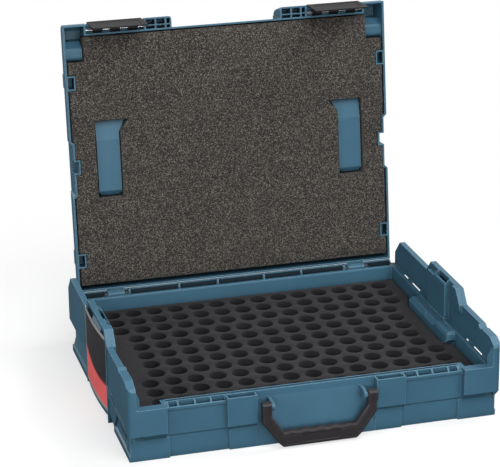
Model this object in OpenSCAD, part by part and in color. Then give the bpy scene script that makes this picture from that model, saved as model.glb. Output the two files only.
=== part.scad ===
// Stackable carry case with a hinged lid, front latches, a bail handle
// and a drilled foam tray, drawn with the lid standing open.
// Origin: middle of the underside. X runs to the right, Y to the rear,
// Z up. Inside the modules Y is counted from the front face of the case.

/* [Case] */
// Overall width across the side wings
case_w = 442; // [430:1:470]
// Depth from the front face of the corner blocks to the rear face
case_d = 357; // [350:1:380]
// Height of the rim on which the lid closes
rim_h = 66; // [64:1:80]
// Height of the wing tops above the rim
wing_rise = 35; // [30:1:40]
// Height of the raised wing blocks above the wing tops
block_rise = 15.5; // [12:0.5:20]
// Thickness of the side wings
wing_t = 7; // [6:0.5:8]
// Thickness of the floor
floor_t = 2.6; // [2:0.1:4]

/* [Tub] */
// Distance from the outer side to the inner face of the side wall
side_t = 14.4; // [14:0.2:18]
// Front face of the body to the inner face of the front wall at the tray
front_t = 29; // [28:0.5:34]
// Thickness of the rear double wall
rear_t = 12.5; // [12:0.5:16]
// Step-in of the lower body from the front face of the corner blocks
skirt_in = 9.5; // [8:0.5:11]
// Height of the stepped-in lower body
skirt_h = 26; // [24:0.5:28]
// How far each inner side bulge stands into the tub
bulge_in = 11; // [8:0.5:14]
// Wall of ribs and small boxes
rib_t = 2; // [1.6:0.1:2.6]

/* [Front] */
// Inner edge of each proud front block, from the middle
block_x = 71; // [70:0.5:76]
// Width of each proud front block
block_w = 35; // [33:0.5:38]
// Set-back of the proud front blocks behind the corner blocks
block_in = 3.5; // [2:0.5:6]
// Width of each latch land
land_w = 70.5; // [68:0.5:76]
// Depth of the latch land behind the corner blocks
land_in = 10.6; // [10.4:0.1:12]
// How far the catch lip stands out from the latch land
lip_out = 1.6; // [1.2:0.1:2]
// Height of the catch lip
lip_h = 3.5; // [3:0.1:4.5]
// Drop of the catch lip's top below the rim
lip_drop = 4; // [3.6:0.1:5]

/* [Lid] */
// Height of the closed lid above the rim
lid_h = 32; // [28:1:34]
// Half of the lid's width at its rim
lid_half = 207.4; // [207:0.1:209]
// Wall of the lid
lid_t = 2.2; // [1.8:0.1:2.4]
// Angle between the closed lid and the open lid as drawn
lid_open = 96; // [80:1:110]
// Gap between the closed lid and the rim
lid_gap = 0.2; // [0.1:0.05:0.6]

/* [Hinge] */
// Distance of the hinge axis in front of the rear face
hinge_in = 3; // [2.5:0.25:4]
// Radius of the hinge pins
hinge_r = 2; // [1.5:0.1:2.2]
// Radius of the hinge knuckles
knuckle_r = 4; // [3.6:0.1:4.2]
// Inner end of each hinge, from the middle
hinge_x = 144.5; // [130:0.5:150]
// Width of one hinge knuckle of the lid
knuckle_w = 22; // [16:1:26]
// Width of one hinge lug of the tub
lug_w = 4.5; // [4:0.5:5]

/* [Latches] */
// Height of the latch plate
latch_h = 44; // [40:1:45]
// Thickness of the latch plate
latch_t = 2; // [1.6:0.1:2.2]
// Radius of the latch pins
latch_r = 1.5; // [1:0.1:1.6]
// Radius of the latch knuckles
latch_knuckle_r = 3.4; // [3:0.1:3.4]
// Running gap beside the latch plate
latch_side = 1.2; // [1:0.1:3]

/* [Handle] */
// Half of the handle's width over its arms
handle_half = 67.5; // [66:0.5:69]
// Width of each handle arm
arm_w = 10.5; // [9:0.5:12]
// Thickness of the handle from front to rear
handle_t = 9.5; // [8:0.5:10.5]
// Distance of the grip's underside above the ground
handle_low = 2.2; // [1:0.1:5]
// Height of the grip
grip_h = 18.5; // [16:0.5:22]
// Radius of the handle pins
handle_r = 2.5; // [2:0.1:3]
// Height of the handle pins above the ground
handle_z = 52.5; // [50:0.5:56]

/* [Tray] */
// Thickness of the foam tray
tray_t = 45.5; // [30:0.5:50]
// Diameter of the holes in the tray
hole_d = 21.4; // [18:0.1:24]
// Pitch of the holes in the tray
hole_pitch = 27.2; // [26.6:0.1:28]
// Depth of the holes in the tray
hole_deep = 38; // [10:1:40]
// Number of holes in a row between the bulges
hole_n = 13; // [9:1:13]
// Sideways shift of the hole pattern
hole_shift = 5; // [-5:0.5:5]
// Clearance around the tray
tray_gap = 0.5; // [0.4:0.1:1.5]

/* [Stacking] */
// Width of each stack catch window along the side
catch_w = 44; // [30:1:46]
// Height of each stack catch window
catch_h = 17; // [12:0.5:18]
// Travel of each stack catch
catch_travel = 2; // [1:0.1:2.5]
// Thickness of the label cards
card_t = 1; // [0.6:0.1:1.4]

/* [Hidden] */
$fn = 48;
eps = 0.1;
run_gap = 0.05;      // radial running clearance of a pin in its knuckle
seat_gap = 0.02;     // radial clearance of a pin in its fixed bore
foam_gap = 0.3;      // clearance between foam or cards and hard parts

shell_blue = [0.25, 0.42, 0.50];
trim_black = [0.16, 0.16, 0.17];
foam_brown = [0.30, 0.29, 0.27];
foam_grey = [0.20, 0.20, 0.22];
steel = [0.75, 0.76, 0.78];
card_red = [0.80, 0.25, 0.25];

half_w = case_w / 2;
in_x = half_w - side_t;            // inner face of the tub's side walls
wing_x = half_w - wing_t;          // inner face of the wings
wing_top = rim_h + wing_rise;
block_top = wing_top + block_rise;
rear_in = case_d - rear_t;         // inner face of the rear wall
land_x0 = block_x + block_w;       // inner end of the latch land
land_x1 = land_x0 + land_w;        // outer end of the latch land
lip_top = rim_h - lip_drop;
lip_low = lip_top - lip_h;
lip_y = land_in - lip_out;
rim_in = 24.5;                     // rear edge of the front rim
cell_rear = land_in + 6.4;         // front of the wall behind the cells
recess_y = 16;                     // front face of the handle recess
post_x = half_w - 16;              // inner side of the corner post's foot

// slots and ridge along the rear rim
rear_ends = [-hinge_x + 1.5, -78, -27, 34.5, 84.7, hinge_x - 1.5];
ridge_t = 2.4;
ridge_h = 5.7;
slot_y = case_d - 7.5;             // front of the slots

// hinge
hinge_y = case_d - hinge_in;
hinge_z = rim_h;
lug_x0 = hinge_x;
kn_x0 = lug_x0 + lug_w;
kn_x1 = kn_x0 + knuckle_w;
lug_x1 = kn_x1 + lug_w;
kn_side = 0.4;                     // side play of a knuckle between its lugs

// lid, in its closed place
lid_z0 = rim_h + lid_gap;
lid_top = rim_h + lid_h;
lid_front = 8;                     // front face of the lid's corners
lid_box_y = 5.5;                   // front face of the lid's ribbed boxes
lid_mid = 19.8;                    // front face of the lid between boxes
lid_rear = hinge_y - knuckle_r - 2.9;
lid_draft = 3;
lid_in = lid_half - lid_t;
plate_z = lid_top - lid_t - 0.2;   // underside of the lid's top plate
foam_face = rim_h + 0.8;           // visible face of the lid foam
box_x0 = block_x - 0.8;
box_x1 = land_x0 - 1;
corner_x = land_x1 + 2;            // inner side of the lid's corners
notch_y0 = 158;
notch_y1 = 221;
relief_x0 = 143.5;                 // plan of each raised relief
relief_x1 = 172.5;
relief_y0 = 131.5;
relief_y1 = 226;
relief_z = rim_h + 4.5;            // visible face of a relief, and its wall
relief_t = 2.2;
socket_y = [71, 177, 298];
socket_w = 18;
socket_x = lid_in - 10;

// latch
pivot_y = 16;
pivot_z = rim_h + 4;
latch_top = pivot_z + 4;
latch_low = latch_top - latch_h;
latch_x0 = land_x0 + latch_side;
latch_x1 = land_x1 - 1;
plate_y = lip_y - foam_gap - latch_t;      // outer face at the lip

// wings and side recess
front_low = 34.5;                  // underside of the front panels
rear_low = 40;                     // underside of the rear panels
pad_in = 3.6;                      // inward set of the pad behind a block's slope
end_in = 2.5;                      // inward set of a wing's thicker front end
rail_in = 2;                       // inward set of the front rail
post_r = 6.5;                      // outer radius of the corner posts
post_y = 19;                       // rear side of the corner posts
panel_in = 1.8;                    // depth of the sunk panel behind a post
panel_rim = 2.2;                   // rim left around the sunk panel
slope_y1 = 235;
slope_y0 = 220;
block_y0 = 124;
block_foot = 111;
pocket_y0 = 154;
pocket_y1 = 193;
pocket_in = 6.1;                   // how far a wing pocket stands inward
card_y0 = 124;
card_y1 = 243;
card_z0 = 7;
gap_y0 = card_y0 - 5;              // front and rear end of the foot's gap
gap_y1 = card_y1 + 2;
card_in = 4;                       // inward set of the card's front edge
card_bow = 3;
groove_y0 = 155;                   // shallow middle of the grip groove
groove_y1 = 199;

// catches
catch_y = 47;
catch_z = 17.5;
catch_gap = 0.4;
catch_seat = half_w - 6.9;         // back of the catch window's frame
core_x = in_x + 2.4;               // inner side of the side walls' hollows
catch_back = core_x + catch_travel + 0.6;
catch_face = half_w - 3;

// handle
pin_y = -1.5;
arm_in = handle_half - arm_w;
ear_t = 3.4;
ear_x = arm_in - 0.4;              // outer face of each pivot ear
handle_y0 = -8;
knee_z = 41;
grip_half = 44;
arm_top = handle_z + 6;

// tray
tray_z0 = floor_t + foam_gap;
tray_top = tray_z0 + tray_t;
tray_y0 = front_t + 1 + tray_gap;
tray_y1 = rear_in - 1 - tray_gap;
bulge_y0 = 124.5;
bulge_y1 = 247;
bulge_run = 30;                    // length of each slanted bulge end
bulge_top = rim_h - 4;
bulge_x = in_x - bulge_in;
step_z = rim_h - 15;               // underside of the bulge's raised end

module box_at(x0, x1, y0, y1, z0, z1)
    translate([x0, y0, z0]) cube([x1 - x0, y1 - y0, z1 - z0]);

// draws a (y, z) outline as a bar along X
module along_x(x0, x1)
    translate([x0, 0, 0]) rotate([90, 0, 90]) linear_extrude(x1 - x0) children();

// draws an (x, z) outline as a bar along Y
module along_y(y0, y1)
    translate([0, y1, 0]) rotate([90, 0, 0]) linear_extrude(y1 - y0) children();

module both_sides() {
    children();
    mirror([1, 0, 0]) children();
}

module side(s)
    if (s > 0) children();
    else mirror([1, 0, 0]) children();

// puts a piece drawn from the front face at the part's origin
module place() translate([0, -case_d / 2, 0]) children();

// swings a piece drawn on the closed lid to the open lid
module lid_pose()
    place() translate([0, hinge_y, hinge_z]) rotate([-lid_open, 0, 0])
        translate([0, -hinge_y, -hinge_z]) children();

module rod(x0, x1, y, z, r)
    translate([x0, y, z]) rotate([0, 90, 0]) cylinder(h = x1 - x0, r = r);

/* ---------------- tub ---------------- */

// (y, z) outline of one side wing, from the front post to the rear
module wing_outline()
    polygon([[0, front_low], [0, wing_top - 12], [2.5, wing_top - 8.5],
             [15, wing_top - 3], [40, wing_top - 3], [41, wing_top - 4.4],
             [46, wing_top - 4.4], [50, wing_top - 1.2], [block_foot, wing_top - 1],
             [block_y0, block_top], [slope_y0, block_top],
             [slope_y1, wing_top], [case_d - 21, wing_top],
             [case_d - 3, wing_top - 19], [case_d - 3, rear_low],
             [gap_y1, rear_low], [gap_y1, 0], [gap_y0, 0], [gap_y0, front_low]]);

module wing() {
    along_x(wing_x, half_w) wing_outline();
    // slanted underside of the panels
    along_y(gap_y1, case_d - 3)
        polygon([[wing_x - eps, rear_low - 7], [half_w, rear_low + eps],
                 [wing_x - eps, rear_low + eps]]);
    along_y(3, gap_y0)
        polygon([[wing_x - eps, front_low - 7.5], [half_w, front_low + eps],
                 [wing_x - eps, front_low + eps]]);
    // stacking rails along the foot
    along_y(gap_y1, case_d - 12) rail_outline(1);
    along_y(skirt_in, card_y0 - 29) rail_outline(rail_in);
    // ramp from the front panel down to the rear end of the front rail
    along_x(wing_x - eps, half_w - rail_in)
        polygon([[card_y0 - 49, front_low + eps], [gap_y0 + eps, front_low + eps],
                 [gap_y0 + eps, 13], [card_y0 - 29, 7], [card_y0 - 31, 7]]);
    // thicker pad behind the front slope of the wing block
    intersection() {
        along_x(wing_x - pad_in, wing_x + eps)
            polygon([[block_foot - 1, wing_top - 12], [block_foot - 1, wing_top - 1],
                     [block_y0, block_top], [block_y0 + 12, block_top],
                     [block_y0 + 8, wing_top + 3], [block_y0 + 4, wing_top - 12]]);
        along_y(0, case_d)
            polygon([[wing_x - pad_in, block_top], [wing_x + eps, block_top],
                     [wing_x + eps, wing_top - 12], [wing_x - pad_in, wing_top - 7]]);
    }
    // thicker front end of the wing
    along_x(wing_x - end_in, wing_x + eps)
        polygon([[0, rim_h - eps], [0, wing_top - 12], [2.5, wing_top - 8.5],
                 [15, wing_top - 3], [40, wing_top - 3], [41, wing_top - 4.4],
                 [46, wing_top - 4.4], [50, wing_top - 1.2], [53, wing_top - 8],
                 [53, rim_h - eps]]);
    // foot that flares out behind the corner post
    intersection() {
        translate([0, 0, rim_h - eps]) linear_extrude(wing_rise)
            polygon([[wing_x - end_in, 0], [wing_x + eps, 0], [wing_x + eps, 7.4],
                     [lid_half - 1, 7.4], [lid_half - 1, 6.4]]);
        along_y(0, case_d)
            polygon([[lid_half - 1, rim_h - 1], [lid_half - 1, rim_h + 12],
                     [wing_x - end_in, wing_top - 12.5],
                     [wing_x + eps, wing_top - 12.5], [wing_x + eps, rim_h - 1]]);
    }
    // outer wall of the wing pocket, standing on the side wall
    along_y(pocket_y0, pocket_y1)
        polygon([[wing_x - pocket_in, rim_h - eps], [wing_x + eps, rim_h - eps],
                 [wing_x + eps, block_top], [wing_x - pocket_in, block_top - 6]]);
    box_at(wing_x - pocket_in, wing_x + eps, pocket_y1 - eps, pocket_y1 + 21,
           rim_h - eps, block_top - 7);
}

module rail_outline(drop)
    polygon([[wing_x - eps, 0], [half_w - drop, 0], [half_w - drop, 9 - drop],
             [half_w - drop - 2, 9], [wing_x, 24], [wing_x - eps, 24]]);

// circle centre and radius of the bowed label card, seen from above
card_run = card_y1 - card_y0;
card_len = sqrt(card_run * card_run + card_in * card_in);
card_R = (card_len * card_len / 4 + card_bow * card_bow) / (2 * card_bow);
card_back = card_R - card_bow;
card_cx = half_w - card_in / 2 - 0.4 - card_back * card_run / card_len;
card_cy = (card_y0 + card_y1) / 2 + card_back * card_in / card_len;

module card_disc(r, z0, z1)
    translate([card_cx, card_cy, z0]) cylinder(h = z1 - z0, r = r, $fn = 240);

module card_recess() {
    difference() {
        box_at(wing_x - 6, half_w + 5, card_y0 - 3, card_y1 + 1, -eps, wing_top);
        card_disc(card_R - card_t - foam_gap, -1, wing_top + 1);
    }
    // grip groove above the card
    along_y(groove_y0, groove_y1)
        polygon([[half_w + eps, wing_top - 1.5], [half_w - 3.2, wing_top + 5],
                 [half_w - 3.2, block_top - 5], [half_w + eps, block_top - 4.5]]);
    along_x(half_w - 5, half_w + eps) {
        polygon([[block_y0 - 2, wing_top - 1.5], [groove_y0 + eps, wing_top - 1.5],
                 [groove_y0 + eps, block_top - 4.7], [block_y0 + 2, block_top - 4.7]]);
        polygon([[groove_y1 - eps, wing_top - 1.5], [slope_y0 + 6, wing_top - 1.5],
                 [slope_y0 + 1, block_top - 6], [groove_y1 - eps, block_top - 4.7]]);
    }
}

module wing_pocket() {
    box_at(wing_x - pocket_in + rib_t, wing_x - 0.4, pocket_y0 + 2.5,
           pocket_y1 - 2.5, rim_h + 6, block_top + 1);
    box_at(wing_x - 2, half_w - 5.4, pocket_y0 + 2.5, pocket_y1 - 2.5,
           wing_top + 2.5, block_top + 1);
}

// front faces, one outline for each stretch of the front
module corner_outline(low)
    polygon([[0, front_low], [low, front_low - low], [front_t, front_low - low],
             [front_t, rim_h], [0, rim_h]]);

module block_outline()
    polygon([[block_in + 1, 31], [skirt_in, skirt_h], [front_t, skirt_h],
             [front_t, rim_h], [block_in, rim_h]]);

module land_outline()
    polygon([[land_in + 2, skirt_h - 1.5], [land_in, skirt_h + 2],
             [land_in, lip_low - 1.2], [lip_y, lip_low], [lip_y, lip_top - 0.4],
             [lip_y + 0.4, lip_top], [lip_y + rib_t, lip_top],
             [cell_rear, rim_h], [front_t, rim_h], [front_t, skirt_h - 1.5]]);

module middle_outline()
    polygon([[skirt_in, 0], [recess_y, rim_h - 8], [recess_y, rim_h],
             [front_t, rim_h], [front_t, 0]]);

module front_solids() {
    along_x(-block_x, block_x) middle_outline();
    both_sides() {
        along_x(block_x - eps, land_x0) block_outline();
        along_x(land_x0 - eps, land_x1 + eps) land_outline();
        along_x(land_x1, post_x) corner_outline(8.5);
        along_x(post_x - eps, half_w) corner_outline(0);
        // stepped lower body
        box_at(block_x - eps, land_x0 - 3, skirt_in, front_t, 0, skirt_h + eps);
        box_at(land_x0 - 3 - eps, land_x1 - 4, skirt_in + 2.5, front_t, 0,
               skirt_h + eps);
        box_at(land_x1 - 4 - eps, half_w - 3, skirt_in, front_t, 0, skirt_h + eps);
        box_at(post_x, half_w - 3, skirt_in, front_t, 0, front_low + eps);
        // rounded step from the land to the corner block
        difference() {
            box_at(land_x1 - 2, land_x1 + eps, land_in - 2, land_in + eps,
                   skirt_h + 2, rim_h);
            translate([land_x1 - 2, land_in - 2, 0]) cylinder(h = rim_h + 1, r = 2);
        }
        handle_ear();
    }
}

module handle_ear()
    along_x(ear_x - ear_t, ear_x) {
        translate([pin_y, handle_z]) circle(r = handle_r + 2.2);
        polygon([[pin_y, handle_z + handle_r + 2.2], [recess_y + eps, rim_h - 8],
                 [recess_y + eps, handle_z - 9], [pin_y, handle_z - handle_r - 2.2]]);
    }

module cells() {
    cell_x = [land_x0, land_x0 + 17, land_x0 + 35.5, land_x0 + 55, land_x1 - 3.5];
    for (i = [0 : 3])
        box_at(cell_x[i] + rib_t / 2, cell_x[i + 1] - rib_t / 2, lip_y + rib_t,
               cell_rear, lip_top - 14, rim_h + 1);
    // open pocket in the proud block
    box_at(block_x + rib_t, land_x0 - rib_t, block_in + rib_t, cell_rear - 1.5,
           rim_h - 26, rim_h + 1);
    // groove along the front rim
    box_at(-eps, land_x1 - 2, cell_rear + 1.8, rim_in - 2.1, rim_h - 6, rim_h + 1);
}

// hollows of the double front wall, open underneath
module front_cores() {
    along_x(-block_x + 4, block_x - 4)
        polygon([[skirt_in + 2.7, -1], [recess_y + 1.3, 46], [front_t - 2.2, 46],
                 [front_t - 2.2, -1]]);
    both_sides() {
        box_at(block_x + 3, land_x0 - 3, skirt_in + 2.7, front_t - 2.2, -1,
               rim_h - 29);
        box_at(land_x0 + 2, land_x1 - 4, land_in + 4, front_t - 2.2, -1, 44);
        box_at(land_x1 + 2.5, half_w - 18, skirt_in + 2.7, front_t - 2.2, -1, 46);
    }
}

// rounded outer front edge of the corner post
module post_round()
    difference() {
        box_at(half_w - post_r, half_w + 1, -1, post_r, skirt_h, wing_top + 1);
        translate([half_w - post_r, post_r, 0])
            cylinder(h = wing_top + 2, r = post_r);
    }

// sunk panel in the outer face of the wing, between the post and the card
module wing_panel()
    along_x(half_w - panel_in, half_w + 1)
        polygon([[post_y, front_low + 3], [post_y, wing_top - 3 - panel_rim],
                 [40, wing_top - 3 - panel_rim], [42, wing_top - 4.4 - panel_rim],
                 [46, wing_top - 4.4 - panel_rim], [50, wing_top - 1.2 - panel_rim],
                 [block_foot, wing_top - 1 - panel_rim],
                 [gap_y0 - 1, wing_top + 8 - panel_rim],
                 [gap_y0 - 1, front_low + 12], [gap_y0 - 40, front_low + 3]]);

module tub_cavity() {
    along_x(-in_x, in_x)
        polygon([[front_t + 1, floor_t], [front_t, rim_h - 18],
                 [rim_in, rim_h - 3], [rim_in - 1, rim_h + eps],
                 [rear_in + 0.6, rim_h + eps], [rear_in, rim_h - 2],
                 [rear_in - 1, floor_t]]);
    // lowered corners of the front rim
    both_sides()
        box_at(land_x1 + 3.5, in_x, 12, front_t + 2, rim_h - 16, rim_h + 1);
}

module bulge_plan(set)
    polygon([[in_x + 1, bulge_y0 - 8 + set], [in_x, bulge_y0 - 8 + set],
             [bulge_x + set, bulge_y0 + set], [bulge_x + set, bulge_y1 - set],
             [in_x, bulge_y1 + bulge_run - set], [in_x + 1, bulge_y1 + bulge_run - set]]);

module bulge() {
    x0 = bulge_x;
    intersection() {
        translate([0, 0, floor_t - eps]) linear_extrude(rim_h) bulge_plan(0);
        along_y(0, case_d)
            polygon([[x0, 0], [x0, bulge_top - 5], [x0 + 4.5, bulge_top],
                     [in_x + 1, bulge_top], [in_x + 1, 0]]);
        along_x(0, half_w)
            polygon([[bulge_y0 - 9, 0], [bulge_y0 - 9, bulge_top - 6],
                     [bulge_y0 - 3, bulge_top], [bulge_y1 - 2, bulge_top],
                     [bulge_y1 + 6, bulge_top - 10], [bulge_y1 + 31, bulge_top - 16],
                     [bulge_y1 + 31, 0]]);
    }
    // raised end of the bulge towards the front
    intersection() {
        along_y(0, case_d)
            polygon([[x0, step_z], [x0, rim_h - 5.6], [x0 + 1.6, rim_h - 2.4],
                     [x0 + 5, rim_h - 0.6], [in_x + eps, rim_h - 0.6],
                     [in_x + eps, step_z]]);
        along_x(0, half_w)
            polygon([[bulge_y0 - 8, step_z], [bulge_y0 - 12, step_z + 4],
                     [bulge_y0 - 12, rim_h - 3.5], [bulge_y0 - 9, rim_h - 0.6],
                     [bulge_y0 + 26, rim_h - 0.6], [bulge_y0 + 33, rim_h - 6],
                     [bulge_y0 + 33, step_z]]);
        translate([0, 0, step_z - 1]) linear_extrude(17)
            polygon([[in_x + 1, bulge_y0 - 13], [x0 + 4, bulge_y0 - 12],
                     [x0 + 1, bulge_y0 - 10.5], [x0, bulge_y0 - 7],
                     [x0, bulge_y0 + 34], [in_x + 1, bulge_y0 + 34]]);
    }
    // locating bump
    translate([x0 + 1.6, 194, bulge_top - 3.6])
        rotate([0, 90, 0]) cylinder(h = 7, r = 3);
}

module rear_slots() {
    z0 = rim_h - 18;
    y1 = case_d - ridge_t;
    for (i = [0 : 4])
        box_at(rear_ends[i] + 1, rear_ends[i + 1] - 1, slot_y, y1, z0, rim_h + 1);
    both_sides() box_at(lug_x1 + 2, half_w - 16, slot_y, y1, z0, rim_h + 1);
}

// low ridge behind the slots, with a web at each end of a slot
module rear_ridge() {
    box_at(-half_w + 14, half_w - 14, case_d - ridge_t, case_d, rim_h - 2,
           rim_h + ridge_h);
    for (x = rear_ends) along_x(x - 1, x + 1) ridge_web();
    both_sides() along_x(half_w - 16, half_w - 14) ridge_web();
}

module ridge_web()
    polygon([[slot_y, rim_h - 1], [slot_y + 0.5, rim_h + 3.3],
             [slot_y + 2.7, rim_h + ridge_h], [case_d, rim_h + ridge_h],
             [case_d, rim_h - 1]]);

module hinge_lugs()
    for (x = [lug_x0, kn_x1]) {
        rod(x, x + lug_w, hinge_y, hinge_z, knuckle_r);
        box_at(x, x + lug_w, hinge_y - knuckle_r, hinge_y + knuckle_r,
               rim_h - 14, rim_h);
    }

// slanted windows from the ledge through the right-hand wing
module wing_windows() {
    x0 = wing_x - 2.8;
    run = 26.5;
    for (y = [[294.5, 310.5], [249.5, 280], [79.5, 88], [35.5, 63]])
        translate([0, 0, rim_h - 11.5]) {
            linear_extrude(10.9)
                polygon([[x0, y[0]], [half_w + 1, y[0] + run],
                         [half_w + 1, y[1] + run], [x0, y[1]]]);
            translate([x0, y[0], 0]) cube([2, y[1] - y[0], 13]);
        }
}

module catch_window() {
    box_at(core_x, half_w + 1, catch_y - catch_w / 2, catch_y + catch_w / 2,
           catch_z, catch_z + catch_h);
    box_at(core_x, catch_seat, catch_y - catch_w / 2 - 2.6,
           catch_y + catch_w / 2 + 2.6, catch_z - 2.2, catch_z + catch_h + 2.2);
}

// hollows of the double walls, open underneath
module wall_cores() {
    for (i = [0 : 3])
        box_at(i * 51 + 1.2, i * 51 + 49.8, rear_in + 2.2, case_d - 5.8, -1,
               rim_h - 21);
    box_at(core_x, wing_x - 2.2, catch_y + 27, card_y0 - 7, -1, rim_h - 30);
    box_at(core_x, wing_x - 2.2, card_y1 + 4, 311, -1, 19);
    box_at(core_x, wing_x - 2.2, 315, 341, -1, rim_h - 8);
    translate([0, 0, -1]) linear_extrude(bulge_top - 7) intersection() {
        bulge_plan(2.6);
        union()
            for (y = [bulge_y0 - 6, bulge_y0 + 38, bulge_y0 + 82, bulge_y0 + 126])
                translate([bulge_x, y]) square([bulge_in, 42]);
    }
}

module rear_body()
    along_x(-wing_x, wing_x)
        polygon([[front_t - 1, 0], [case_d - 3.5, 0], [case_d - 3.5, skirt_h],
                 [case_d, skirt_h + 8], [case_d, rim_h], [front_t - 1, rim_h]]);

module base_shell() color(shell_blue) place()
    difference() {
        union() {
            difference() {
                union() {
                    rear_body();
                    rear_ridge();
                    front_solids();
                    both_sides() {
                        wing();
                        difference() {
                            hinge_lugs();
                            box_at(0, half_w, 0, case_d - 0.2, 0, rim_h - 15);
                        }
                    }
                }
                tub_cavity();
                both_sides() post_round();
            }
            both_sides() bulge();
        }
        both_sides() cells();
        front_cores();
        rear_slots();
        wing_windows();
        both_sides() {
            card_recess();
            wing_panel();
            wing_pocket();
            catch_window();
            // room for the lid's knuckle between the lugs
            box_at(kn_x0, kn_x1, hinge_y - knuckle_r - 0.8, case_d + 5,
                   hinge_z - knuckle_r - 0.8, rim_h + 9);
            rod(lug_x0 - 1, lug_x1 + 1, hinge_y, hinge_z, hinge_r + seat_gap);
            rod(arm_in - ear_t - 1, arm_in + 1, pin_y, handle_z,
                handle_r + seat_gap);
            wall_cores();
        }
    }

/* ---------------- lid ---------------- */

// tapered envelope of the closed lid, drawn in by d
module lid_envelope(d, top, low)
    intersection() {
        along_x(-lid_half, lid_half)
            polygon([[lid_box_y + d, low], [lid_box_y + d, lid_z0],
                     [lid_box_y + 7 + d, lid_top - 6], [lid_box_y + 11.5 + d, top],
                     [lid_rear - 6.5 - d, top], [lid_rear - 2 - d, lid_top - 6],
                     [lid_rear - d, lid_z0], [lid_rear - d, low]]);
        along_y(0, case_d)
            polygon([[-lid_half + d, low], [-lid_half + lid_draft + d, top],
                     [lid_half - lid_draft - d, top], [lid_half - d, low]]);
    }

module lid_plan() {
    translate([-lid_half, lid_mid]) square([2 * lid_half, case_d]);
    for (s = [-1, 1]) {
        translate([s * (lid_half + corner_x) / 2, lid_front + case_d / 4])
            square([lid_half - corner_x, case_d / 2], center = true);
        scale([s, 1])
            polygon([[box_x0, lid_mid + 1], [box_x0, lid_box_y + 3.4],
                     [box_x0 + 1, lid_box_y + 1], [box_x0 + 3.4, lid_box_y],
                     [box_x1, lid_box_y], [box_x1, lid_mid + 1]]);
    }
}

// plan of a raised relief, drawn in by d
module relief_plan(d)
    polygon([[relief_x0 + d, 147 - d / 2], [relief_x0 - 8 + 2 * d, relief_y0 + d],
             [relief_x1 - d, relief_y0 + d], [relief_x1 - d, relief_y1 - 4 - d],
             [relief_x1 - 4 - d, relief_y1 - d], [relief_x0 + 4 + d, relief_y1 - d],
             [relief_x0 + d, relief_y1 - 4 - d]]);

module relief(d, top)
    intersection() {
        translate([0, 0, rim_h]) linear_extrude(top - rim_h) relief_plan(d);
        along_x(0, half_w)
            polygon([[relief_y0 + d, top], [relief_y0 + d, relief_z + 4.5 + d],
                     [155, relief_z + d], [relief_y1 - 6 - d, relief_z + d],
                     [relief_y1 - d, relief_z + 3.5 + d], [relief_y1 - d, top]]);
    }

// rounded bump in each front corner of the lid
module corner_bump()
    along_x(corner_x + 5.5, lid_in - 0.5)
        difference() {
            polygon([[29.5, plate_z + 0.5], [30.5, rim_h + 17],
                     [33, rim_h + 13], [37.5, rim_h + 7], [40, rim_h + 5.5],
                     [54, rim_h + 5.5], [54, plate_z + 0.5]]);
            difference() {
                translate([48, rim_h + 5.5 - eps]) square([7, 6 + eps]);
                translate([48, rim_h + 11.5]) circle(r = 6);
            }
        }

module sockets(grow)
    for (y = socket_y)
        box_at(socket_x - grow, lid_in + 0.5, y - grow, y + socket_w + grow,
               rim_h + 0.5 - grow, plate_z + 0.5);

// slanted front of the lid between the ribbed boxes
module lid_slope(d, top)
    polygon([[0, lid_z0 - 2], [lid_mid + d, lid_z0 - 2], [lid_mid + d, lid_z0 + 2],
             [lid_mid + 7.5 + d, lid_top], [lid_mid + 7.5 + d, top], [0, top]]);

// cells of one ribbed box, which starts at x on its left
module lid_cells(x) {
    w = box_x1 - box_x0;
    difference() {
        lid_cell_row([x, x + w - 20.3, x + w - 7.5, x + w]);
        box_at(x, x + w, 14.6, 15.9, rim_h + 1, rim_h + 20);
    }
}

module lid_cell_row(ribs) {
    for (i = [0 : 2])
        along_x(ribs[i] + rib_t / (i == 0 ? 1 : 2), ribs[i + 1] - rib_t / (i == 2 ? 1 : 2))
            polygon([[lid_box_y + 2.1, rim_h - 1], [lid_box_y + 2.6, rim_h + 3],
                     [lid_box_y + 6.5, rim_h + 16], [lid_mid, rim_h + 16],
                     [lid_mid, rim_h - 1]]);
}

module notch_plan(d)
    polygon([[lid_half + 9, notch_y0 - 4 - d], [lid_half + 0.1, notch_y0 - 4 - d],
             [lid_half - 4 - d, notch_y0 - d], [lid_half - 4 - d, notch_y1 + d],
             [lid_half + 0.1, notch_y1 + 4 + d], [lid_half + 9, notch_y1 + 4 + d]]);

module lid_knuckle() {
    rod(kn_x0 + kn_side, kn_x1 - kn_side, hinge_y, hinge_z, knuckle_r);
    box_at(kn_x0 + kn_side, kn_x1 - kn_side, lid_rear - 1, hinge_y, rim_h + 0.8,
           rim_h + knuckle_r);
}

// raised grid on top of the lid that locates the next case
module top_frame() {
    x1 = relief_x0 - 15.5;
    y0 = lid_mid + 32.2;
    y1 = lid_rear - 37.1;
    z0 = lid_top - 1;
    z1 = lid_top + 1.6;
    difference() {
        box_at(-x1, x1, y0, y1, z0, z1);
        box_at(-x1 + 7, x1 - 7, y0 + 7, y1 - 7, z0 - 1, z1 + 1);
    }
    for (x = [-x1 / 2, 0, x1 / 2]) box_at(x - 4, x + 4, y0 + 6, y1 - 6, z0, z1);
}

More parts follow.
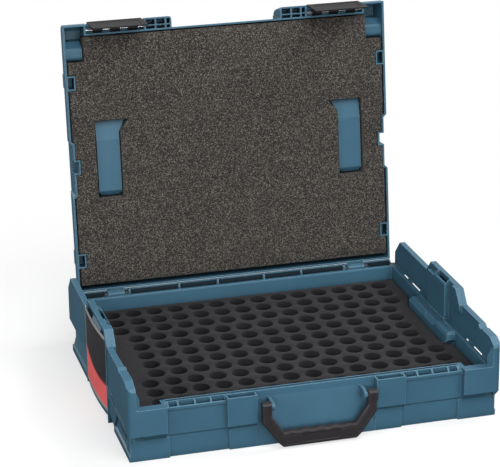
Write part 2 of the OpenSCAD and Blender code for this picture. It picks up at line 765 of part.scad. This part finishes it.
module lid_shell() color(shell_blue) lid_pose()
    difference() {
        union() {
            difference() {
                intersection() {
                    lid_envelope(0, lid_top, lid_z0);
                    translate([0, 0, lid_z0]) linear_extrude(lid_h) lid_plan();
                }
                along_x(-box_x0 + 1, box_x0 - 1) lid_slope(0, lid_top + 1);
                intersection() {
                    lid_envelope(lid_t, plate_z, lid_z0 - 1);
                    union() {
                        difference() {
                            box_at(-lid_half, lid_half, lid_mid + rib_t, case_d,
                                   rim_h - 1, plate_z);
                            along_x(-corner_x, corner_x)
                                lid_slope(rib_t, plate_z + 1);
                        }
                        both_sides()
                            box_at(corner_x + lid_t, lid_half, lid_front + lid_t,
                                   lid_mid + rib_t + eps, rim_h - 1, plate_z);
                    }
                }
                lid_cells(box_x0);
                lid_cells(-box_x1);
            }
            // roof over the latch pockets
            both_sides() {
                along_x(box_x1 - eps, corner_x + eps)
                    polygon([[9.8, rim_h + 18], [lid_box_y + 6.6, lid_top - 6],
                             [lid_box_y + 11.5, lid_top], [lid_mid + 8, lid_top],
                             [lid_mid + 7.5, rim_h + 26], [lid_mid + 1, rim_h + 18]]);
                relief(0, plate_z + 0.5);
                corner_bump();
                sockets(0);
                lid_knuckle();
                // wall that follows the side notch
                intersection() {
                    lid_envelope(0, lid_top, lid_z0);
                    translate([0, 0, lid_z0]) linear_extrude(lid_h)
                        difference() {
                            notch_plan(lid_t);
                            translate([lid_in + 1, 0]) square([20, case_d]);
                        }
                }
            }
            top_frame();
        }
        both_sides() {
            translate([0, 0, rim_h - 1]) linear_extrude(lid_h + 5) notch_plan(0);
            relief(relief_t, lid_top + 5);
            for (y = socket_y)
                box_at(socket_x + 1.6, lid_in - 0.6, y + 1.6, y + socket_w - 1.6,
                       rim_h - 1, rim_h + 18);
            rod(kn_x0, kn_x1, hinge_y, hinge_z, hinge_r + run_gap);
            rod(box_x1 - rib_t - 0.1, corner_x + lid_t - 0.3, pivot_y, pivot_z,
                latch_r + seat_gap);
        }
    }

module lid_foam() color(foam_brown) lid_pose()
    difference() {
        intersection() {
            box_at(-lid_in + 2.2, lid_in - 2.2, lid_mid + rib_t + 2.2,
                   lid_rear - lid_t - 6, foam_face, plate_z - foam_gap);
            lid_envelope(lid_t + foam_gap + 0.2, plate_z - foam_gap, foam_face);
        }
        along_x(-lid_half, lid_half) lid_slope(rib_t + 0.6, lid_top);
        both_sides() {
            box_at(corner_x + 3.7, lid_half, 0, 55, rim_h, lid_top);
            translate([0, 0, rim_h]) linear_extrude(lid_h)
                notch_plan(lid_t + foam_gap + 0.2);
            sockets(foam_gap + 0.5);
            translate([0, 0, rim_h]) linear_extrude(lid_h) foam_cut_plan();
        }
    }

// cut-out in the foam around each relief
module foam_cut_plan()
    polygon([[relief_x0 - 1.5, 144.5], [relief_x0 - 13, relief_y0 - 2],
             [relief_x1 + 1.8, relief_y0 - 2], [relief_x1 + 1.8, relief_y1 + 2.5],
             [relief_x0 - 1.5, relief_y1 + 2.5]]);

/* ---------------- tray ---------------- */

module tray_plan() {
    w = in_x - tray_gap;
    n = bulge_x - tray_gap;
    right = [[w, tray_y0], [w, bulge_y0 - 8 - tray_gap * 2],
             [n, bulge_y0 - tray_gap * 2], [n, bulge_y1 + tray_gap],
             [w, bulge_y1 + bulge_run + tray_gap * 3], [w, tray_y1]];
    polygon(concat(right, [for (i = [5 : -1 : 0]) [-right[i][0], right[i][1]]]));
}

module tray_holes() {
    first_y = (tray_y0 + tray_y1) / 2 - 5 * hole_pitch + 3.5;
    for (row = [0 : 10]) {
        narrow = row > 2 && row < 8;
        n = narrow ? hole_n : hole_n + 1;
        for (i = [0 : n - 1])
            translate([(i - (n - 1) / 2) * hole_pitch + hole_shift,
                       first_y + row * hole_pitch, tray_top - hole_deep])
                cylinder(h = hole_deep + 1, d = hole_d);
    }
}

module tray_foam() color(foam_grey) place()
    difference() {
        translate([0, 0, tray_z0]) linear_extrude(tray_t) tray_plan();
        tray_holes();
    }

/* ---------------- handle ---------------- */

function grip_wave(x) = handle_low + grip_h + 0.7 * cos(x * 360 / 17);

// outline of the bail in (x, z), drawn in by d
module bail_outline(d) {
    lo = handle_low;
    hh = handle_half;
    wave = [for (x = [-39 : 1.5 : 39]) [x, grip_wave(x) - d]];
    arm_r = [[grip_half - 1 + d / 2, lo + grip_h - d], [arm_in + d, knee_z + d / 2],
             [arm_in + d, arm_top - d], [hh - d, arm_top - d],
             [hh - d, knee_z - 8 + d / 2], [48.5 - d, lo + 4.5 + d / 2],
             [43.5 - d / 2, lo + d]];
    arm_l = [for (i = [6 : -1 : 0]) [-arm_r[i][0], arm_r[i][1]]];
    polygon(concat(wave, arm_r, arm_l));
}

module front_handle() color(trim_black) place()
    difference() {
        union() {
            along_y(handle_y0 + 1.8, handle_y0 + handle_t - 1.2) bail_outline(0);
            along_y(handle_y0 + 1.1, handle_y0 + 1.8 + eps) bail_outline(0.5);
            along_y(handle_y0 + 0.5, handle_y0 + 1.1 + eps) bail_outline(1.1);
            along_y(handle_y0, handle_y0 + 0.5 + eps) bail_outline(1.9);
            along_y(handle_y0 + handle_t - 1.2 - eps, handle_y0 + handle_t - 0.5)
                bail_outline(0.6);
            along_y(handle_y0 + handle_t - 0.6, handle_y0 + handle_t)
                bail_outline(1.3);
            // square cap over each pivot
            both_sides() along_x(arm_in + 0.6, handle_half + 0.6)
                polygon([[handle_y0 - 0.8, 46.6], [handle_y0 - 0.8, arm_top - 2],
                         [handle_y0 + 1, arm_top], [handle_y0 + handle_t - 1.6, arm_top],
                         [handle_y0 + handle_t, arm_top - 1.6],
                         [handle_y0 + handle_t, 46.6]]);
        }
        both_sides()
            rod(arm_in - 1, handle_half - 1.8, pin_y, handle_z, handle_r + run_gap);
        // step in the front face along the grip and the arms
        difference() {
            along_y(handle_y0 - 2, handle_y0 + 0.6) bail_outline(3.4);
            along_y(handle_y0 - 3, handle_y0 + 1) bail_outline(4.3);
            box_at(-24.5, 24.5, handle_y0 - 4, handle_y0 + 4, 0, 30);
        }
        // bare label field in the front of the grip
        along_y(handle_y0 - 1, handle_y0 + 0.8)
            polygon([[-22.5, handle_low + 5.5], [-21, handle_low + 4],
                     [21, handle_low + 4], [22.5, handle_low + 5.5],
                     [22.5, handle_low + 13.5], [21, handle_low + 15],
                     [-21, handle_low + 15], [-22.5, handle_low + 13.5]]);
    }

module handle_pin(s) color(steel) place() side(s)
    rod(ear_x - ear_t, handle_half - 2, pin_y, handle_z, handle_r);

/* ---------------- latches ---------------- */

// (y, z) outline of the latch plate with its hook
module latch_outline(hook) {
    y0 = plate_y;
    y1 = plate_y + latch_t;
    slope = (pivot_z - 10 - latch_low) * 0.05;
    tip = lip_y + lip_out - foam_gap;
    polygon(concat(
        [[y0 + slope, latch_low], [y0, pivot_z - 10], [y0 - 0.8, latch_top],
         [y1 - 0.4, latch_top], [y1, lip_top + 0.6], [y1, lip_low - foam_gap]],
        hook ? [[tip, lip_low - 1.2 - foam_gap], [tip, lip_low - 2.6]] : [],
        [[y1 + (hook ? 0.3 : 0), lip_low - 4.2], [y1 + slope - 0.1, latch_low]]));
}

module latch(s) color(trim_black) lid_pose() side(s)
    difference() {
        union() {
            along_x(latch_x0, latch_x1) latch_outline(false);
            along_x(latch_x0 + 1, latch_x1 - 3) latch_outline(true);
            for (x = [latch_x0 + 6, (latch_x0 + latch_x1) / 2 - 6, latch_x1 - 18])
                along_x(x, x + 12) {
                    translate([pivot_y, pivot_z]) circle(r = latch_knuckle_r);
                    polygon([[plate_y + 0.6, pivot_z - latch_knuckle_r + 0.4],
                             [plate_y + 0.4, latch_top - 0.4],
                             [pivot_y, pivot_z + latch_knuckle_r],
                             [pivot_y, pivot_z - latch_knuckle_r]]);
                }
        }
        rod(latch_x0, latch_x1, pivot_y, pivot_z, latch_r + run_gap);
        // sunk panel on the outer face
        along_x(latch_x0 + 6, latch_x1 - 6)
            polygon([[plate_y - 2, latch_low + 7], [plate_y + 1.9, latch_low + 7],
                     [plate_y + 0.6, pivot_z - 10], [plate_y, latch_top - 6],
                     [plate_y - 2, latch_top - 6]]);
    }

module latch_pin(s) color(steel) lid_pose() side(s)
    rod(box_x1 - rib_t, corner_x + lid_t - 0.5, pivot_y, pivot_z, latch_r);

module hinge_pin(s) color(steel) place() side(s)
    rod(lug_x0, lug_x1, hinge_y, hinge_z, hinge_r);

/* ---------------- sides ---------------- */

module label_card(s) color(card_red) place() side(s)
    intersection() {
        difference() {
            card_disc(card_R, card_z0, wing_top - foam_gap);
            card_disc(card_R - card_t, card_z0 - 1, wing_top + 1);
        }
        box_at(wing_x - 6, half_w + 5, card_y0, card_y1, 0, wing_top);
    }

module stack_catch(s) color(shell_blue) place() side(s) {
    // flange held behind the window frame
    box_at(catch_back, catch_seat - 0.1, catch_y - catch_w / 2 - 2,
           catch_y + catch_w / 2 + 2, catch_z - 1.6, catch_z + catch_h + 1.6);
    box_at(catch_seat - 0.2, catch_face - 1.4, catch_y - catch_w / 2 + catch_gap,
           catch_y + catch_w / 2 - catch_gap, catch_z + catch_gap,
           catch_z + catch_h - catch_gap);
    box_at(catch_face - 1.5, catch_face, catch_y - catch_w / 2 + 4,
           catch_y + catch_w / 2 - 12, catch_z + 3, catch_z + catch_h - 3);
}

base_shell();
lid_shell();
lid_foam();
tray_foam();
front_handle();
handle_pin(-1);  // handle_pin_left
handle_pin(1);  // handle_pin_right
latch(-1);  // latch_left
latch(1);  // latch_right
latch_pin(-1);  // latch_pin_left
latch_pin(1);  // latch_pin_right
hinge_pin(-1);  // hinge_pin_left
hinge_pin(1);  // hinge_pin_right
label_card(-1);  // label_card_left
label_card(1);  // label_card_right
stack_catch(-1);  // stack_catch_left
stack_catch(1);  // stack_catch_right
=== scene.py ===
import bpy, bmesh, math
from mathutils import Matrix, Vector


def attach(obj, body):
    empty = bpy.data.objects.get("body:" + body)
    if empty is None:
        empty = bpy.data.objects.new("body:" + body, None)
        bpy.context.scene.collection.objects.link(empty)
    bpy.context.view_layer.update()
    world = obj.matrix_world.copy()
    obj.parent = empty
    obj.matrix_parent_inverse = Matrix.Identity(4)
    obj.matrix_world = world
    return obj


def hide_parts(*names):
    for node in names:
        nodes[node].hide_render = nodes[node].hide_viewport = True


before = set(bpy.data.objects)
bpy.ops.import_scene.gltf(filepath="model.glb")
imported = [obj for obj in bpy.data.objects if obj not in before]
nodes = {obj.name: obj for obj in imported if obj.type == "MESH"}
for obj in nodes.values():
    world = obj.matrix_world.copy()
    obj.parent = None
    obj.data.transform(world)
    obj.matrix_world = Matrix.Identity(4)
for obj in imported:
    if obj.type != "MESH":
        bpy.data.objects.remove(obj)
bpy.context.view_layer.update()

HALF_D = 0.1785          # from the tub's front face back to the frame's origin
SIDES = ("left", "right")


# ---------------------------------------------------------------- colours
def lin(r, g, b):
    """An sRGB colour, 0 to 255, as linear RGBA."""
    def channel(c):
        c /= 255
        return c / 12.92 if c <= 0.04045 else ((c + 0.055) / 1.055) ** 2.4

    return (channel(r), channel(g), channel(b), 1.0)


def grey(value):
    return (value, value, value, 1.0)


def tint(colour, factor):
    """A colour made darker or lighter by a factor."""
    return tuple(min(1.0, c * factor) for c in colour[:3]) + (1.0,)


BLACK, WHITE = grey(0.0), grey(1.0)


# ---------------------------------------------------------------- nodes
class Tree:
    """The node tree of a material or a world, with short calls for its nodes."""

    def __init__(self, owner, output):
        self.owner = owner
        owner.use_nodes = True
        self.tree = owner.node_tree
        self.tree.nodes.clear()
        self.output = self.add(output)

    def put(self, socket, value):
        """Sets a socket to a constant, or links it to another node's output."""
        if isinstance(value, (int, float, tuple)):
            socket.default_value = value
        else:
            self.tree.links.new(value, socket)

    def add(self, kind, inputs=None):
        """A new node, with its inputs set by name or number."""
        node = self.tree.nodes.new(kind)
        for key, value in (inputs or {}).items():
            self.put(node.inputs[key], value)
        return node

    def calc(self, operation, *values):
        node = self.add("ShaderNodeMath")
        node.operation = operation
        for socket, value in zip(node.inputs, values):
            self.put(socket, value)
        return node.outputs[0]

    def product(self, first, *others):
        for other in others:
            first = self.calc("MULTIPLY", first, other)
        return first

    def spread(self, value, low, span):
        """low where the value is 0, and low + span where it is 1."""
        return self.calc("ADD", self.calc("MULTIPLY", value, span), low)

    def vector(self, operation, *values):
        """A vector operation that gives a number."""
        node = self.add("ShaderNodeVectorMath")
        node.operation = operation
        for socket, value in zip(node.inputs, values):
            self.put(socket, value)
        return node.outputs["Value"]

    def remap(self, value, limits, blend="LINEAR"):
        node = self.add("ShaderNodeMapRange", {"Value": value, **limits})
        node.interpolation_type = blend
        return node.outputs["Result"]

    def mix(self, share, first, second):
        """The first colour where share is 0, the second where it is 1."""
        node = self.add("ShaderNodeMix")
        node.data_type = "RGBA"
        for index, value in ((0, share), (6, first), (7, second)):
            self.put(node.inputs[index], value)
        return node.outputs[2]

    def ray(self, kind):
        """1 for one kind of light path, such as Is Camera Ray."""
        return self.add("ShaderNodeLightPath").outputs[kind]

    def end(self, shader):
        """Sends a shader to the output and returns the tree's owner."""
        self.put(self.output.inputs[0], shader)
        return self.owner

    def end_mixed(self, share, first, second):
        """Ends with the first shader where share is 0, the second where it is 1."""
        node = self.add("ShaderNodeMixShader", {0: share, 1: first, 2: second})
        return self.end(node.outputs[0])


class Material(Tree):
    """A material whose patterns lie in the object's own coordinates."""

    SAMPLES = 4          # of the bevel and the occlusion

    def __init__(self, name):
        super().__init__(bpy.data.materials.new(name), "ShaderNodeOutputMaterial")
        self.place = self.add("ShaderNodeTexCoord").outputs["Object"]

    def xyz(self):
        return self.add("ShaderNodeSeparateXYZ", {0: self.place}).outputs

    def stretched(self, scale):
        return self.add("ShaderNodeMapping", {"Vector": self.place, "Scale": scale}).outputs[0]

    def noise(self, scale, detail=2.0, rough=0.5, place=None):
        node = self.add("ShaderNodeTexNoise", {
            "Scale": scale, "Detail": detail, "Roughness": rough,
            "Vector": self.place if place is None else place})
        return node.outputs["Fac"]

    def cells(self, scale, output="Distance"):
        node = self.add("ShaderNodeTexVoronoi", {"Scale": scale, "Vector": self.place})
        return node.outputs[output]

    def ramp(self, value, *stops):
        """Blends between two stops, each a place from 0 to 1 and a colour."""
        node = self.add("ShaderNodeValToRGB", {0: value})
        for element, (place, colour) in zip(node.color_ramp.elements, stops):
            element.position = place
            element.color = colour
        return node.outputs[0]

    def bump(self, height, strength, depth, normal=None):
        node = self.add("ShaderNodeBump", {
            "Height": height, "Strength": strength, "Distance": depth})
        if normal is not None:
            self.put(node.inputs["Normal"], normal)
        return node.outputs[0]

    def bevel(self, radius):
        """The normal, as if edges were rounded by a radius."""
        node = self.add("ShaderNodeBevel", {"Radius": radius})
        node.samples = self.SAMPLES
        return node.outputs[0]

    def edge(self, bevel):
        """0 on flats, 1 on edges, from the bevelled normal."""
        normal = self.add("ShaderNodeNewGeometry").outputs["True Normal"]
        turn = self.calc("SUBTRACT", 1.0, self.vector("DOT_PRODUCT", bevel, normal))
        return self.remap(turn, {"From Min": 0.02, "From Max": 0.3})

    def occlusion(self, shade_reach):
        """1 in the open, towards 0 in inner corners."""
        node = self.add("ShaderNodeAmbientOcclusion", {"Distance": shade_reach})
        node.samples = self.SAMPLES
        return node.outputs["AO"]

    def principled(self, inputs):
        """Ends the material with a principled shader and returns it."""
        return self.end(self.add("ShaderNodeBsdfPrincipled", inputs).outputs[0])


# ---------------------------------------------------------------- plastic
MOTTLE = 0.08            # how far the colour strays, as a share of itself
CORNER_SHADE_SHARE = 0.45      # of the colour that is left in inner corners, as painted shade
ROUGH_SPAN = 0.14        # between the smoothest and the roughest spots


def plastic(name, colour, edge_wear_highlight_colour, rough, radius=0.0007, wear_and_highlight=0.5, shade_reach=0.012,
            gloss=0.25, shade=None):
    """Moulded plastic: mottled colour, edges lighter as wear and painted highlight, painted
    shade in inner corners, and grain.

    Edges are lightened over radius with the strength given for them, partly as wear and partly
    as painted highlight; the painted shade of an inner corner goes out to the reach given, and
    shade makes the mask of what is painted darker still, as shade.
    """
    m = Material(name)
    bevel = m.bevel(radius)
    patches = m.noise(scale=14, detail=4, rough=0.6)
    base = m.ramp(patches, (0.3, tint(colour, 1 - MOTTLE)), (0.7, tint(colour, 1 + MOTTLE)))
    # painted shade: inner corners, found by occlusion, are coloured darker
    corner_shade = m.ramp(m.occlusion(shade_reach), (0.25, WHITE), (0.85, BLACK))
    base = m.mix(corner_shade, base, tint(colour, CORNER_SHADE_SHARE))
    # partly wear and partly painted highlight: edges are coloured lighter
    base = m.mix(m.product(m.edge(bevel), wear_and_highlight), base, edge_wear_highlight_colour)
    if shade:
        # painted shade: what the shade mask holds is coloured nearly black
        base = m.mix(shade(m), base, lin(12, 18, 22))
    fine = m.noise(scale=420, detail=3, rough=0.6)
    grain = m.noise(scale=1100)
    return m.principled({
        "Base Color": base,
        "Roughness": m.spread(fine, rough - ROUGH_SPAN / 2, ROUGH_SPAN),
        "Specular IOR Level": gloss,
        "Normal": m.bump(grain, strength=0.35, depth=0.00012, normal=bevel)})


# the deep slots along the rear rim, which look black in the photograph
# painted shade: these slots are coloured nearly black where shade falls in them
SLOT_FRONT, SLOT_REAR = HALF_D - 0.0072, HALF_D - 0.0023
SLOT_FOOT, SLOT_TOP = 0.047, 0.0702
SLOT_WEBS = (-0.143, -0.078, -0.027, 0.0345, 0.0847, 0.143)   # X of their webs
WEB_HALF = 0.0012        # half a web's width
SLOT_SHADE_SHARE = 0.9          # share of the dark colour mixed in


def slot_shade(m):
    """SLOT_SHADE_SHARE inside the deep slots, 0 on their webs and elsewhere."""
    x, y, z = m.xyz()
    inside = [m.calc("GREATER_THAN", y, SLOT_FRONT), m.calc("LESS_THAN", y, SLOT_REAR),
              m.calc("GREATER_THAN", z, SLOT_FOOT), m.calc("LESS_THAN", z, SLOT_TOP)]
    for web in SLOT_WEBS:
        away = m.calc("ABSOLUTE", m.calc("SUBTRACT", x, web))
        inside.append(m.calc("GREATER_THAN", away, WEB_HALF))
    return m.product(*inside, SLOT_SHADE_SHARE)


# the light edge colour stands partly for wear and partly for painted highlight
SHELL_BLUE, SHELL_WORN_AND_HIGHLIT = lin(55, 92, 112), lin(156, 194, 208)
SHELL = plastic("shell_blue", SHELL_BLUE, SHELL_WORN_AND_HIGHLIT, rough=0.46, wear_and_highlight=0.85)
TUB = plastic("shell_blue_tub", SHELL_BLUE, SHELL_WORN_AND_HIGHLIT, rough=0.46, wear_and_highlight=0.85,
              shade=slot_shade)
TRIM = plastic("trim_black", lin(44, 42, 45), lin(112, 108, 108), rough=0.40,
               radius=0.0006, shade_reach=0.008, gloss=0.12)
# painted shade: the latches get a darker, duller copy of the black trim
SHADED_LATCH = plastic("trim_black_latch", lin(30, 29, 31), lin(110, 108, 108), rough=0.5,
                radius=0.0006, shade_reach=0.008, gloss=0.06)
CATCH = plastic("catch_blue", lin(36, 70, 88), lin(86, 124, 144), rough=0.5)


# ---------------------------------------------------------------- steel
def steel():
    """Drawn bright wire, streaked along X."""
    m = Material("steel")
    streaks = m.noise(scale=1.0, detail=3, rough=0.6, place=m.stretched((60, 2500, 2500)))
    return m.principled({
        "Base Color": m.ramp(streaks, (0.3, lin(176, 178, 182)), (0.7, lin(226, 228, 230))),
        "Metallic": 1.0,
        "Roughness": m.spread(streaks, low=0.16, span=0.16),
        "Normal": m.bump(streaks, strength=0.2, depth=0.00004)})


STEEL = steel()


# ---------------------------------------------------------------- foam
def cut_foam(m, base, pores, pore_share, grain, depth, rough, gloss, sheen_rough):
    """Ends a foam material: dull and open, with its pores and grain in relief."""
    return m.principled({
        "Base Color": base,
        "Roughness": rough,
        "Specular IOR Level": gloss,
        "Sheen Weight": 0.06,
        "Sheen Roughness": sheen_rough,
        "Normal": m.bump(m.calc("ADD", grain, m.product(pores, pore_share)),
                         strength=0.5, depth=depth)})


def foam_speckled():
    """The lid's bonded foam, with dark and light crumbs."""
    m = Material("foam_brown")
    patches = m.noise(scale=26, detail=4, rough=0.6)
    base = m.ramp(patches, (0.3, lin(38, 36, 34)), (0.7, lin(47, 44, 42)))
    crumbs = m.add("ShaderNodeSeparateColor", {0: m.cells(1150, "Color")}).outputs
    base = m.mix(m.ramp(crumbs[1], (0.10, grey(0.75)), (0.45, BLACK)), base, lin(26, 24, 22))
    base = m.mix(m.ramp(crumbs[0], (0.62, BLACK), (0.98, grey(0.8))), base,
                 lin(124, 119, 111))
    pores = m.cells(1300)
    base = m.mix(m.ramp(pores, (0.08, grey(0.45)), (0.5, BLACK)), base, lin(34, 30, 28))
    return cut_foam(m, base, pores, pore_share=0.6, grain=m.noise(700, detail=3, rough=0.7),
                    depth=0.0005, rough=0.95, gloss=0.2, sheen_rough=0.6)


def foam_tray():
    """The tray's dense, nearly black foam."""
    m = Material("foam_grey")
    patches = m.noise(scale=20, detail=4, rough=0.6)
    base = m.ramp(patches, (0.3, lin(23, 22, 25)), (0.7, lin(30, 29, 32)))
    pores = m.cells(900)
    base = m.mix(m.ramp(pores, (0.05, grey(0.5)), (0.5, BLACK)), base, lin(21, 20, 23))
    return cut_foam(m, base, pores, pore_share=0.5, grain=m.noise(1000, rough=0.6),
                    depth=0.0003, rough=0.85, gloss=0.18, sheen_rough=0.5)


LID_FOAM = foam_speckled()
TRAY_FOAM = foam_tray()


# ---------------------------------------------------------------- label card
CARD_MIDDLE = 0.1835 - HALF_D        # along Y
CARD_HALF = 0.06                     # about half its length
CARD_HEIGHT = 0.1                    # from the ground to about its top edge
# the red field ends on a line that climbs to the rear in a shallow arc,
# given in shares of the height over shares of the half length
LINE_MIDDLE, LINE_SLOPE, LINE_BEND = 0.40, 0.06, 0.08
LINE_HALF = 0.012
RIM_ENDS, RIM_FOOT, RIM_TOP = 0.94, 0.11, 0.965


def card():
    """Bare colour fields of a printed side label: pale rim, dark top, red foot."""
    m = Material("card_red")
    _, y, z = m.xyz()
    up = m.calc("DIVIDE", z, CARD_HEIGHT)
    along = m.calc("DIVIDE", m.calc("SUBTRACT", y, CARD_MIDDLE), CARD_HALF)
    arc = m.calc("ADD", m.product(along, along, LINE_BEND), m.product(along, LINE_SLOPE))
    line = m.calc("ADD", arc, LINE_MIDDLE)
    patches = m.noise(scale=60, detail=3)
    red = m.ramp(patches, (0.3, lin(244, 104, 106)), (0.7, lin(253, 118, 118)))
    dark = m.ramp(patches, (0.3, lin(34, 34, 38)), (0.7, lin(50, 50, 54)))
    base = m.mix(m.calc("GREATER_THAN", up, line), red, dark)
    off_line = m.calc("ABSOLUTE", m.calc("SUBTRACT", up, line))
    base = m.mix(m.calc("LESS_THAN", off_line, LINE_HALF), base, lin(150, 60, 62))
    ends = m.calc("GREATER_THAN", m.calc("ABSOLUTE", along), RIM_ENDS)
    foot_or_top = m.calc("MAXIMUM", m.calc("LESS_THAN", up, RIM_FOOT),
                         m.calc("GREATER_THAN", up, RIM_TOP))
    base = m.mix(m.calc("MAXIMUM", ends, foot_or_top), base, lin(166, 164, 162))
    return m.principled({
        "Base Color": base,
        "Roughness": m.spread(m.noise(scale=200, detail=3), low=0.35, span=0.1),
        "Specular IOR Level": 0.35,
        "Normal": m.bump(m.noise(scale=900), strength=0.15, depth=0.00005)})


CARD = card()


# ---------------------------------------------------------------- pieces
def dress(material, *names):
    """Gives the named nodes one material."""
    for name in names:
        materials = nodes[name].data.materials
        materials.clear()
        materials.append(material)


dress(TUB, "base_shell")
dress(SHELL, "lid_shell")
dress(TRIM, "front_handle")
dress(LID_FOAM, "lid_foam")
dress(TRAY_FOAM, "tray_foam")
for side in SIDES:
    dress(SHADED_LATCH, "latch_" + side)
    dress(STEEL, "handle_pin_" + side, "latch_pin_" + side, "hinge_pin_" + side)
    dress(CARD, "label_card_" + side)
    dress(CATCH, "stack_catch_" + side)

WELD = 1e-6                          # points closer than this are one
FLAT = math.radians(0.5)             # faces that turn less are one face
CUT_EDGE = math.radians(50)          # edges that turn more are rounded
CREASE = math.radians(35)            # edges that turn more are shaded sharp


def soft_copy(node, name, mat, body, radius):
    """A foam piece made from its solid, with cut edges that are a little rounded."""
    me = nodes[node].data.copy()
    o = bpy.data.objects.new(name, me)
    bpy.context.scene.collection.objects.link(o)
    bm = bmesh.new()
    bm.from_mesh(me)
    bmesh.ops.remove_doubles(bm, verts=bm.verts, dist=WELD)
    bmesh.ops.dissolve_limit(bm, angle_limit=FLAT, verts=bm.verts, edges=bm.edges)
    sharp = [e for e in bm.edges if len(e.link_faces) == 2
             and e.calc_face_angle(0) > CUT_EDGE]
    bmesh.ops.bevel(bm, geom=sharp, offset=radius, segments=2, profile=0.5,
                    affect="EDGES", clamp_overlap=True)
    bmesh.ops.triangulate(bm, faces=[f for f in bm.faces if len(f.verts) > 4])
    bm.to_mesh(me)
    bm.free()
    me.materials.clear()
    me.materials.append(mat)
    for p in me.polygons:
        p.use_smooth = True
    me.set_sharp_from_angle(angle=CREASE)
    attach(o, body)
    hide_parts(node)


soft_copy("tray_foam", "foam_tray_block", TRAY_FOAM, "base", 0.0006)
soft_copy("lid_foam", "foam_lid_sheet", LID_FOAM, "lid", 0.0012)


# ---------------------------------------------------------------- stage
FLOOR_HALF = 6
FLOOR_SEEN, FLOOR_UNSEEN = grey(0.85), grey(0.08)    # to the camera, to other rays
# from the origin out, the seen floor turns into plain white, so that only the soft
# shadow round the case shows
WHITENING = {"From Min": 0.25, "From Max": 0.85, "To Min": 0.60, "To Max": 1.0}


def floor_material():
    m = Material("floor")
    seen = m.ray("Is Camera Ray")
    paint = m.add("ShaderNodeBsdfDiffuse", {0: m.mix(seen, FLOOR_UNSEEN, FLOOR_SEEN)})
    white = m.add("ShaderNodeEmission", {0: WHITE, 1: 1.0})
    whiter = m.remap(m.vector("LENGTH", m.place), WHITENING, "SMOOTHSTEP")
    return m.end_mixed(m.product(seen, whiter), paint.outputs[0], white.outputs[0])


def floor():
    bm = bmesh.new()
    bmesh.ops.create_grid(bm, x_segments=2, y_segments=2, size=FLOOR_HALF)
    me = bpy.data.meshes.new("floor")
    bm.to_mesh(me)
    bm.free()
    o = bpy.data.objects.new("floor", me)
    bpy.context.scene.collection.objects.link(o)
    me.materials.append(floor_material())


floor()


def studio():
    """Dim daylight on the case, plain white behind it and in its reflections."""
    world = Tree(bpy.data.worlds.new("studio"), "ShaderNodeOutputWorld")
    lit = world.add("ShaderNodeBackground", {0: (0.93, 0.96, 1.0, 1.0), 1: 0.20})
    white = world.add("ShaderNodeBackground", {0: WHITE, 1: 1.0})
    seen = world.ray("Is Camera Ray")
    for kind in ("Is Glossy Ray", "Is Transmission Ray"):
        seen = world.calc("MAXIMUM", seen, world.ray(kind))
    bpy.context.scene.world = world.end_mixed(seen, lit.outputs[0], white.outputs[0])


studio()


def area(name, place, target, size, power):
    """A rectangular lamp that faces a target, with its size in m and power in W."""
    light = bpy.data.lights.new(name, "AREA")
    light.shape = "RECTANGLE"
    light.size, light.size_y = size
    light.energy = power
    lamp = bpy.data.objects.new(name, light)
    bpy.context.scene.collection.objects.link(lamp)
    lamp.location = place
    facing = Vector(target) - Vector(place)
    lamp.rotation_euler = facing.to_track_quat("-Z", "Y").to_euler()


area("key_right", (1.6, 0.3, 2.2), (0, 0, 0.1), (1.0, 1.0), 46)
area("front_top", (0.35, -1.5, 2.1), (0, 0, 0.1), (1.7, 1.2), 50)
area("front_soft", (-0.25, -1.7, 0.45), (0, 0, 0.08), (1.2, 0.6), 17)
area("back_soft", (-1.9, 2.2, 0.8), (0, 0, 0.2), (1.4, 1.0), 24)
area("left_soft", (-2.5, -0.9, 0.9), (0, 0, 0.1), (1.4, 1.0), 23)

# the camera fitted to the photograph, with its focal length in pixels
PHOTO_WIDTH, FOCAL_LENGTH = 500, 2055.03
SENSOR = 36              # mm
EYE = (-0.628197, -2.212635, 1.027552)
EYE_TURN = (1.22223297, 0.01275277, -0.26862883)


def camera():
    data = bpy.data.cameras.new("camera")
    data.sensor_width = SENSOR
    data.sensor_fit = "HORIZONTAL"
    data.lens = FOCAL_LENGTH / PHOTO_WIDTH * SENSOR
    data.clip_start, data.clip_end = 0.05, 30
    eye = bpy.data.objects.new("camera", data)
    bpy.context.scene.collection.objects.link(eye)
    eye.location = EYE
    eye.rotation_euler = EYE_TURN
    bpy.context.scene.camera = eye


camera()
bpy.context.scene.view_settings.view_transform = "Standard"
